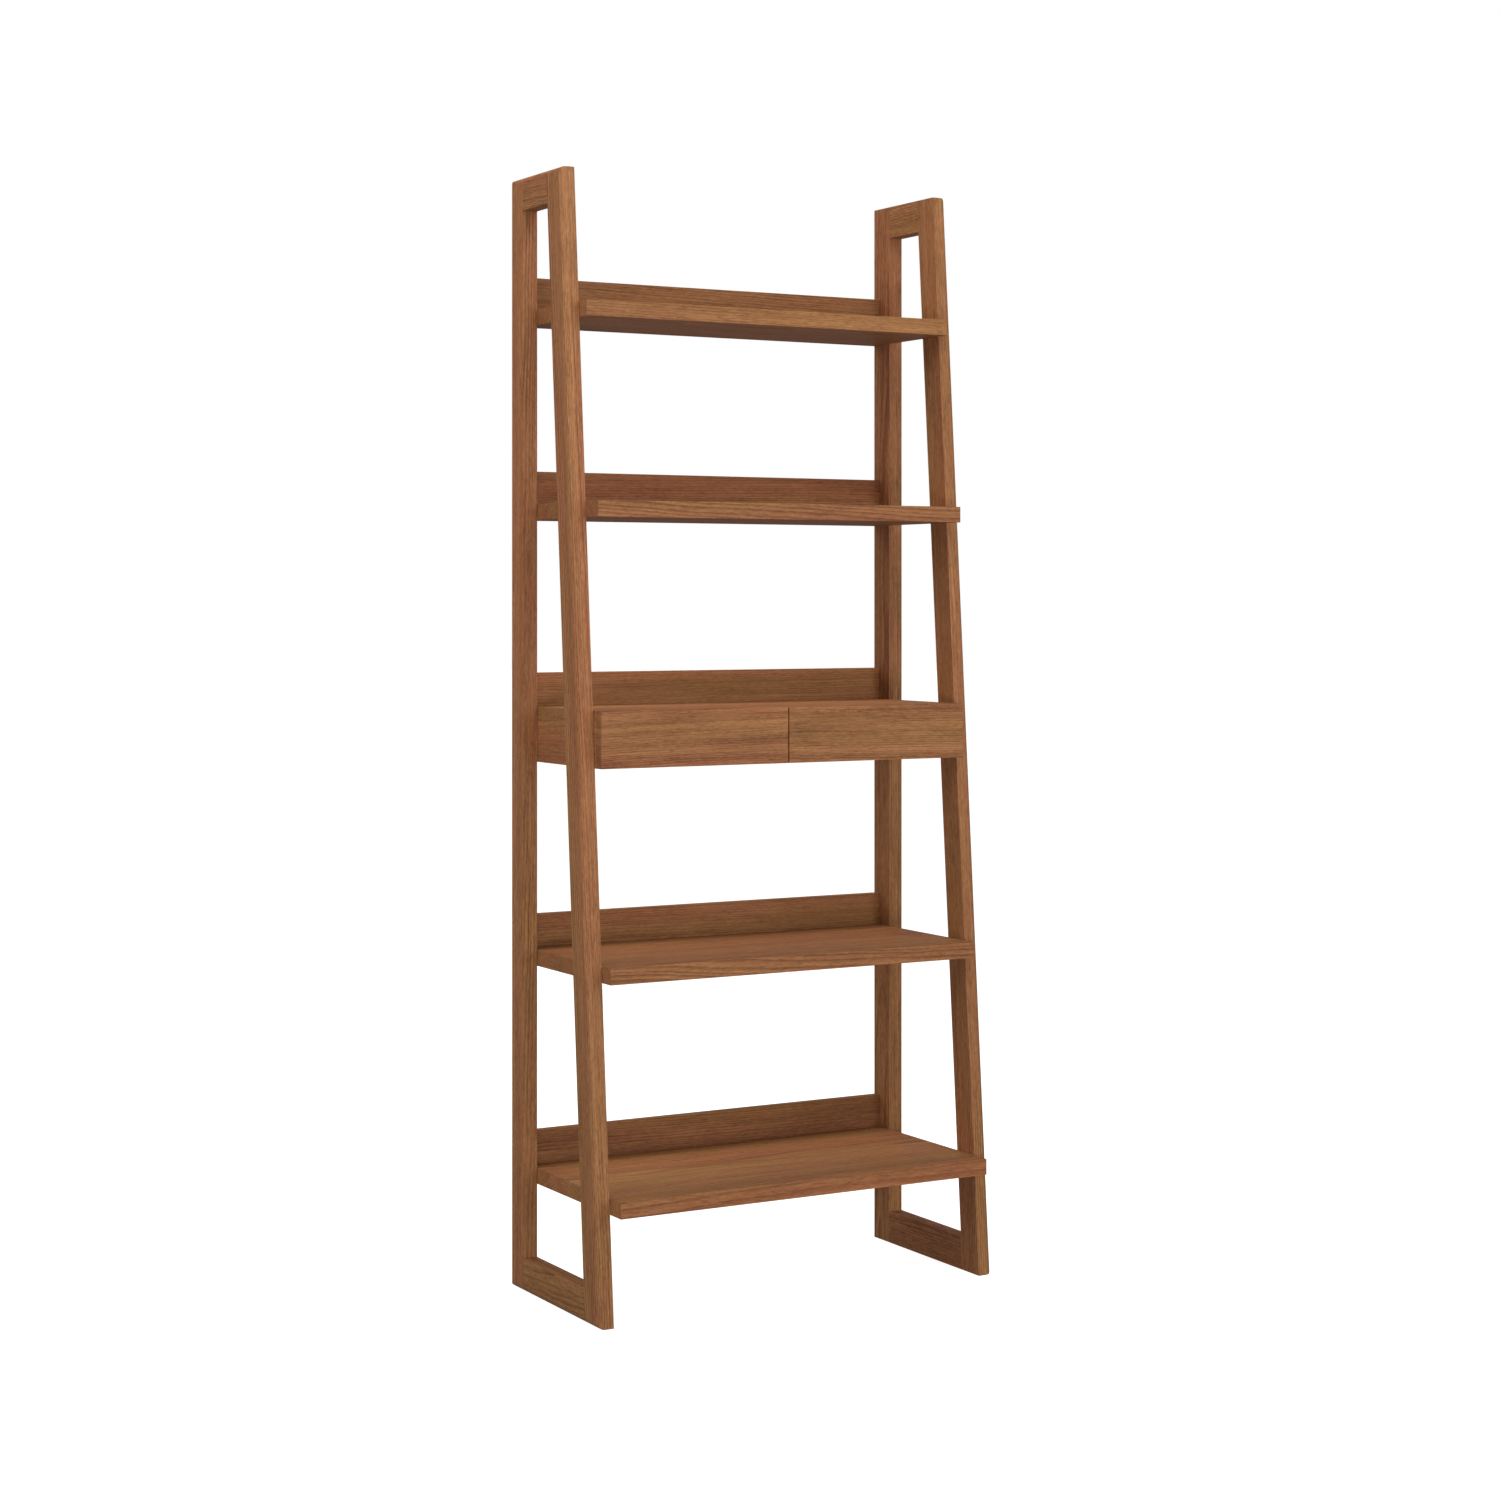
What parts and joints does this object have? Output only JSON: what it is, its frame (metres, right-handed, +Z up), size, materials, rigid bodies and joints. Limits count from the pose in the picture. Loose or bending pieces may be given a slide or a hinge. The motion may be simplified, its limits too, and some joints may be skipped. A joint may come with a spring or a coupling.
{
  "type": "ladder shelf",
  "caption": "Freestanding ladder shelf in solid wood: side frames with front posts that lean back, open shelves that deepen towards the floor, and a shallow case of handle-less drawers.",
  "frame": {"origin": "middle of the footprint, on the floor", "axes": "+Z up; the open front and the drawers face -Y and the wall side faces +Y; +X is to the right when facing the front"},
  "size_m": [0.726, 0.348, 1.8],
  "materials": {
    "frame_wood": "oiled mid-brown hardwood, satin, grain along each member",
    "shelf_wood": "oiled mid-brown hardwood, satin, grain from side to side",
    "drawer_front_wood": "oiled mid-brown hardwood, satin, grain from side to side",
    "drawer_box_wood": "lighter unfinished hardwood, sanded",
    "dowel_wood": "pale beech, unfinished"
  },
  "bodies": {
    "shelf_unit": {"bottom_shelf_board": "shelf_wood", "bottom_shelf_dowel_left_back": "dowel_wood", "bottom_shelf_dowel_left_front": "dowel_wood", "bottom_shelf_dowel_right_back": "dowel_wood", "bottom_shelf_dowel_right_front": "dowel_wood", "bottom_shelf_upstand": "shelf_wood", "case_back": "shelf_wood", "case_bottom": "shelf_wood", "case_divider": "shelf_wood", "case_dowel_left_back": "dowel_wood", "case_dowel_left_front": "dowel_wood", "case_dowel_right_back": "dowel_wood", "case_dowel_right_front": "dowel_wood", "case_side_left": "shelf_wood", "case_side_right": "shelf_wood", "case_top": "shelf_wood", "left_back_post": "frame_wood", "left_foot_rail": "frame_wood", "left_front_post": "frame_wood", "left_top_rail": "frame_wood", "lower_shelf_board": "shelf_wood", "lower_shelf_dowel_left_back": "dowel_wood", "lower_shelf_dowel_left_front": "dowel_wood", "lower_shelf_dowel_right_back": "dowel_wood", "lower_shelf_dowel_right_front": "dowel_wood", "lower_shelf_upstand": "shelf_wood", "right_back_post": "frame_wood", "right_foot_rail": "frame_wood", "right_front_post": "frame_wood", "right_top_rail": "frame_wood", "runner_left_inner": "drawer_box_wood", "runner_left_outer": "drawer_box_wood", "runner_right_inner": "drawer_box_wood", "runner_right_outer": "drawer_box_wood", "top_shelf_board": "shelf_wood", "top_shelf_dowel_left_back": "dowel_wood", "top_shelf_dowel_left_front": "dowel_wood", "top_shelf_dowel_right_back": "dowel_wood", "top_shelf_dowel_right_front": "dowel_wood", "top_shelf_upstand": "shelf_wood", "upper_shelf_board": "shelf_wood", "upper_shelf_dowel_left_back": "dowel_wood", "upper_shelf_dowel_left_front": "dowel_wood", "upper_shelf_dowel_right_back": "dowel_wood", "upper_shelf_dowel_right_front": "dowel_wood", "upper_shelf_upstand": "shelf_wood"},
    "drawer_left": {"drawer_left_back": "drawer_box_wood", "drawer_left_bottom": "drawer_box_wood", "drawer_left_front": "drawer_front_wood", "drawer_left_side_inner": "drawer_box_wood", "drawer_left_side_outer": "drawer_box_wood"},
    "drawer_right": {"drawer_right_back": "drawer_box_wood", "drawer_right_bottom": "drawer_box_wood", "drawer_right_front": "drawer_front_wood", "drawer_right_side_inner": "drawer_box_wood", "drawer_right_side_outer": "drawer_box_wood"}
  },
  "joints": [
    {"name": "drawer_left_slide", "type": "slide", "parent": "shelf_unit", "child": "drawer_left", "axis": [0, -1, 0], "range_m": [0, 0.16]},
    {"name": "drawer_right_slide", "type": "slide", "parent": "shelf_unit", "child": "drawer_right", "axis": [0, -1, 0], "range_m": [0, 0.16]}
  ]
}
